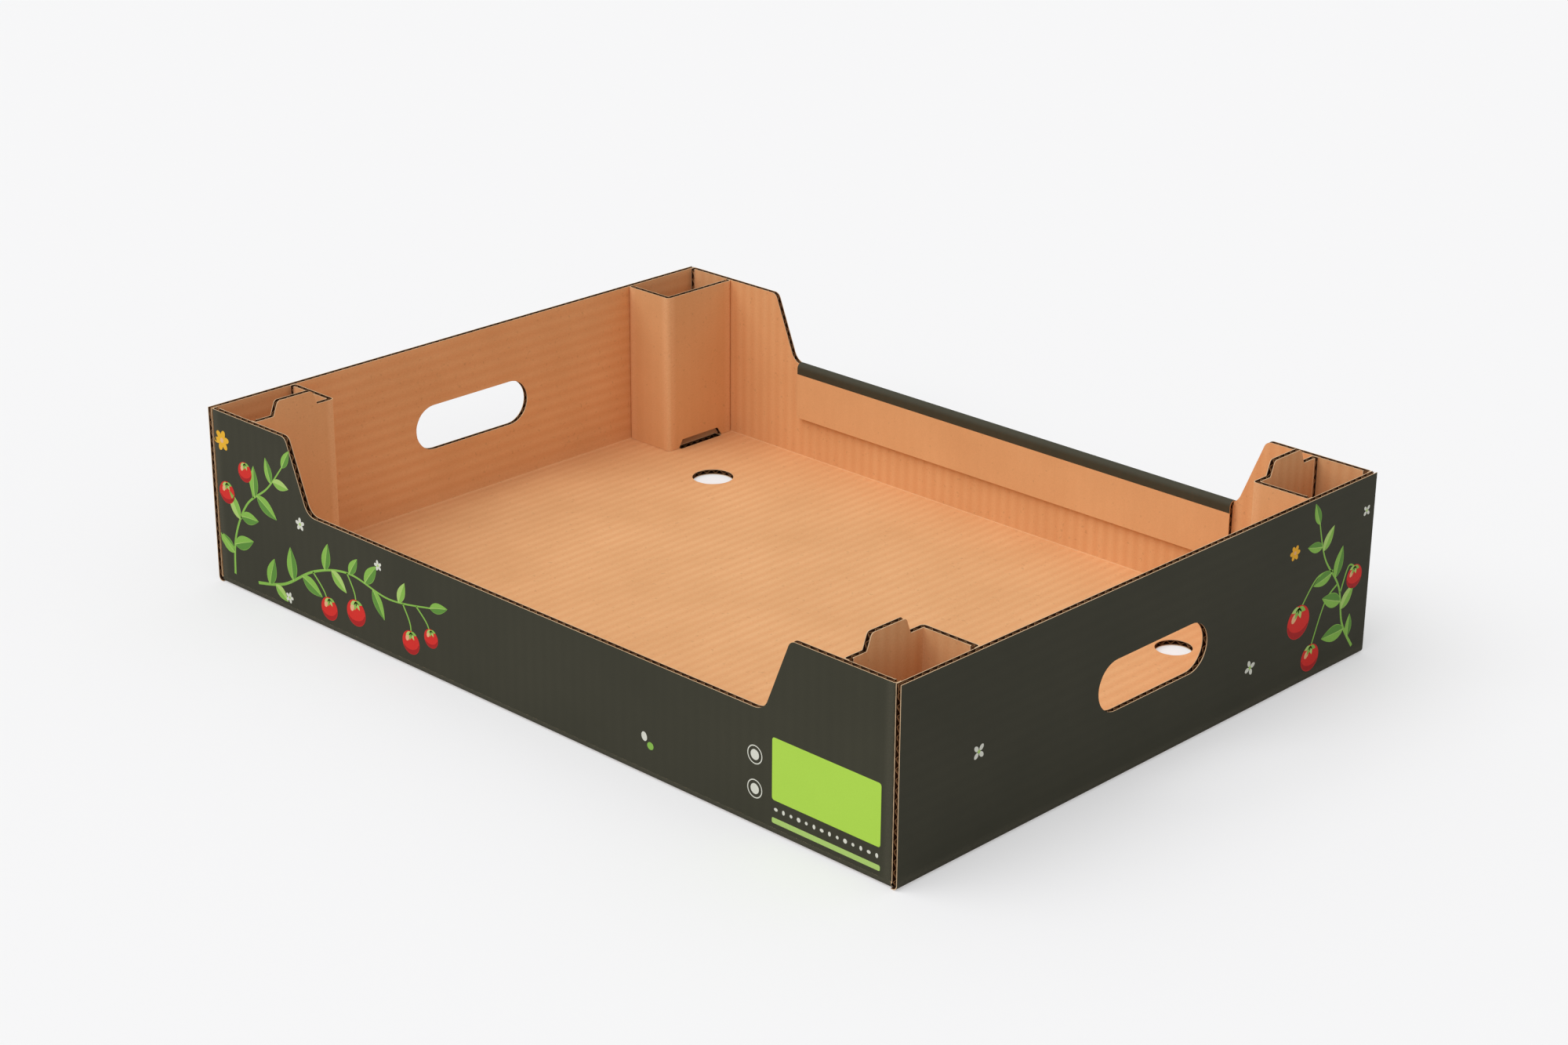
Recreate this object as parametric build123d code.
from build123d import *
import os

# Cardboard tray box, die-cut from one corrugated blank, folded and glued.
# Millimetres. Origin at the middle of the underside, +X along the long walls, +Z up.

# ---- driving sizes ---------------------------------------------------------------
tray_length = 552.0            # over the outer faces of the short walls
tray_width = 400.0             # over the outer faces of the long walls
wall_height = 111.0            # underside to the top of the short walls and posts
board = 3.6                    # thickness of the corrugated board
crease_radius = 2.6            # outside radius of the creases at the floor and on the posts
corner_radius = 1.4            # outside radius of the tight creases at the box corners

# ---- long walls ------------------------------------------------------------------
low_edge = 67.0                # height of the long walls between their shoulders
shoulder = 73.5                # outer face of a short wall to where the slope starts
wide_shoulder = 83.0           # the same at the corner behind on the left
slope_run = 18.0               # how far a slope runs along the wall
slope_foot_radius = 10.0
slope_top_radius = 5.0

# ---- flap rolled over the rear long wall ------------------------------------------
roll_rise = 2.0                # top of the roll above the low edge of the wall
roll_drop = 38.0               # top of the roll down to the free edge of the flap
roll_left_gap = 6.0            # foot of the left slope to the end of the flap
roll_right_gap = 2.0           # foot of the right slope to the end of the flap

# ---- corner posts ----------------------------------------------------------------
post_length = 41.5             # along X, outer face of the short wall to the post face
post_width = 62.0              # along Y, outer face of the long wall to the post face
glue_height = 82.0             # top of the glued panels hidden inside a post
glue_lap = 30.0                # length of the panel glued to the long wall

# ---- stacking tabs, their notches and slots ----------------------------------------
tab_from_side = 33.0           # outer face of the long wall to the middle of a tab
tab_root = 32.0                # width of a tab where it leaves the post
tab_tip = 25.0                 # width of a tab at its tip
tab_height = 9.0
tab_radius = 2.5
notch_side_clearance = 4.0     # a notch over each side of a tab
notch_top_clearance = 0.4      # a notch over the tip of the tab that comes up into it
slot_end_clearance = 3.0       # a slot in the floor over each side of a tab
slot_face_clearance = 1.2      # a slot over each face of the board that passes through

# ---- holes -----------------------------------------------------------------------
hand_hole_length = 93.0
hand_hole_height = 29.5
hand_hole_middle = 55.7        # height of its centre line
left_vent_diameter = 27.0
left_vent_from_end = 94.5      # outer face of the left short wall to the hole's centre
left_vent_from_side = 73.5     # outer face of the long wall to the hole's centre
right_vent_diameter = 22.0
right_vent_from_end = 76.5
right_vent_from_side = 78.0

# ---- places worked out from them ---------------------------------------------------
half_length = tray_length / 2
half_width = tray_width / 2
inner_x = half_length - board              # inner face of a short wall
inner_y = half_width - board               # inner face of a long wall
post_face_x = half_length - post_length    # post face that looks along the tray
post_face_y = half_width - post_width      # post face that looks across the tray
tab_y = half_width - tab_from_side
roll_middle = low_edge + roll_rise - board # centre of the roll's bend
rear_left_foot = -(half_length - wide_shoulder - slope_run)
rear_right_foot = half_length - shoulder - slope_run
flap_left = rear_left_foot + roll_left_gap
flap_right = rear_right_foot - roll_right_gap


def block(x_range, y_range, z_range):
    """A box from its two ends along each axis."""
    low = Vector(x_range[0], y_range[0], z_range[0])
    high = Vector(x_range[1], y_range[1], z_range[1])
    size = high - low
    return Pos(*low) * Box(size.X, size.Y, size.Z, align=(Align.MIN, Align.MIN, Align.MIN))


def near_points(sketch, points):
    """The vertices of a flat sketch that lie on the given points."""
    return [v for v in sketch.vertices() if min((v.center() - Vector(*p)).length for p in points) < 0.01]


def floor_panel():
    """The floor between the short walls."""
    return block((-inner_x, inner_x), (-half_width, half_width), (0, board))


def long_wall(left_shoulder, right_shoulder, inner_face):
    """A long wall: a low middle with a slope up to a shoulder at each end."""
    left_top = -(half_length - left_shoulder)
    right_top = half_length - right_shoulder
    feet = [(left_top + slope_run, 0, low_edge), (right_top - slope_run, 0, low_edge)]
    tops = [(left_top, 0, wall_height), (right_top, 0, wall_height)]
    ends = [(-inner_x, 0, wall_height), (-inner_x, 0, 0), (inner_x, 0, 0), (inner_x, 0, wall_height)]
    outline = Polyline(ends[0], ends[1], ends[2], ends[3], tops[1], feet[1], feet[0], tops[0], close=True)
    face = make_face(outline)
    face = fillet(near_points(face, feet), slope_foot_radius)
    face = fillet(near_points(face, tops), slope_top_radius)
    return Pos(0, inner_face, 0) * extrude(face, board, dir=(0, 1, 0))


def crease_envelope():
    """Rounds the outside of the floor creases and of the upright corner creases."""
    body = block((-inner_x, inner_x), (-half_width, half_width), (0, wall_height))
    floor_edges = body.edges().filter_by(Axis.X).group_by(Axis.Z)[0]
    body = fillet(floor_edges, crease_radius)
    return fillet(body.edges().filter_by(Axis.Z), corner_radius)


def rolled_flap():
    """The flap folded over the rear wall: up, round the bend and down the inside."""
    bend = Pos(inner_y, roll_middle) * Circle(board)
    upper_half = Pos(inner_y, roll_middle) * Rectangle(2 * board, board, align=(Align.CENTER, Align.MIN))
    flap_reach = roll_drop - board
    flap = Pos(inner_y, roll_middle) * Rectangle(board, flap_reach, align=(Align.MAX, Align.MAX))
    section = (bend & upper_half) + flap
    return Pos(flap_left, 0, 0) * extrude(Plane.YZ * section, flap_right - flap_left)


def short_wall():
    """A short wall at full height, its floor crease rounded, with its hand hole."""
    wall = block((inner_x, half_length), (-half_width, half_width), (0, wall_height))
    crease = wall.edges().filter_by(Axis.Y).group_by(Axis.Z)[0].sort_by(Axis.X)[-1]
    wall = fillet(crease, crease_radius)
    hole = Plane.YZ * (Pos(0, hand_hole_middle) * SlotOverall(hand_hole_length, hand_hole_height))
    return wall - Pos(inner_x - board, 0, 0) * extrude(hole, 3 * board)


def trapezoid(root, tip, rise):
    """A symmetric trapezoid standing on its root, in the plane across the tray."""
    points = [(0, -root / 2, 0), (0, root / 2, 0), (0, tip / 2, rise), (0, -tip / 2, rise)]
    return make_face(Polyline(*points, close=True))


def post_panels():
    """The two free faces of a post, one board thick, standing on the floor."""
    x_reach = inner_x - post_face_x
    y_reach = inner_y - post_face_y
    outside = Pos(post_face_x, post_face_y) * Rectangle(x_reach, y_reach, align=(Align.MIN, Align.MIN))
    outside = fillet(near_points(outside, [(post_face_x, post_face_y, 0)]), crease_radius)
    wall_ends = [(inner_x, post_face_y, 0), (post_face_x, inner_y, 0)]
    outside = fillet(near_points(outside, wall_ends), corner_radius)
    hollow = Pos(post_face_x + board, post_face_y + board) * Rectangle(
        x_reach, y_reach, align=(Align.MIN, Align.MIN))
    return Pos(0, 0, board) * extrude(outside - hollow, wall_height - board)


def glued_panels():
    """The two hidden panels of a post: one on the short wall, one on the long wall."""
    tube_side = post_face_y + corner_radius
    on_short = block((inner_x - board, inner_x), (tube_side, inner_y), (board, glue_height))
    on_long = block((post_face_x + board, post_face_x + board + glue_lap),
                    (inner_y - board, inner_y), (board, glue_height))
    return on_short + on_long


def stacking_tab():
    """The tab on top of the post face that looks along the tray."""
    face = trapezoid(tab_root, tab_tip, tab_height)
    tips = [(0, tab_tip / 2, tab_height), (0, -tab_tip / 2, tab_height)]
    face = fillet(near_points(face, tips), tab_radius)
    return Pos(post_face_x, tab_y, wall_height) * extrude(face, board, dir=(1, 0, 0))


def stacking_notch():
    """Clearance at the foot of a post for the tab of the tray below."""
    root = tab_root + 2 * notch_side_clearance
    tip = tab_tip + 2 * notch_side_clearance
    height = tab_height - board + notch_top_clearance
    cut = extrude(trapezoid(root, tip, height), 3 * board, dir=(1, 0, 0))
    return Pos(post_face_x - board, tab_y, board) * cut


def corner_post(has_tab):
    """One post, modelled at the +X +Y corner."""
    post = post_panels() + glued_panels() - stacking_notch()
    if has_tab:
        post += stacking_tab()
    return post


def floor_slot():
    """The slot under a post that the tab of the tray below comes up through."""
    half_slot = tab_root / 2 + slot_end_clearance
    x_range = (post_face_x - slot_face_clearance, post_face_x + board + slot_face_clearance)
    y_range = (tab_y - half_slot, tab_y + half_slot)
    return block(x_range, y_range, (-board, 2 * board))


def vent(diameter, x, y):
    """A round vent hole through the floor."""
    return Pos(x, y, board / 2) * Cylinder(diameter / 2, 3 * board)


def at_corner(shape, x_side, y_side):
    """Mirrors a shape from the +X +Y corner to another corner."""
    if x_side < 0:
        shape = mirror(shape, about=Plane.YZ)
    if y_side < 0:
        shape = mirror(shape, about=Plane.XZ)
    return shape


def folded_tray():
    """The whole folded and glued blank as one solid."""
    front = long_wall(shoulder, shoulder, -half_width)
    rear = long_wall(wide_shoulder, shoulder, inner_y)
    rear -= block((flap_left, flap_right), (inner_y, half_width), (roll_middle, wall_height))
    tray = (floor_panel() + front + rear) & crease_envelope()
    tray += rolled_flap()
    tray += short_wall()
    tray += mirror(short_wall(), about=Plane.YZ)
    for x_side in (-1, 1):
        for y_side in (-1, 1):
            rear_left = x_side < 0 and y_side > 0
            tray += at_corner(corner_post(has_tab=not rear_left), x_side, y_side)
            tray -= at_corner(floor_slot(), x_side, y_side)
    for side in (-1, 1):
        left_y = side * (half_width - left_vent_from_side)
        right_y = side * (half_width - right_vent_from_side)
        tray -= vent(left_vent_diameter, left_vent_from_end - half_length, left_y)
        tray -= vent(right_vent_diameter, half_length - right_vent_from_end, right_y)
    return tray


os.makedirs("parts", exist_ok=True)
export_step(folded_tray(), "parts/folded_tray.step")
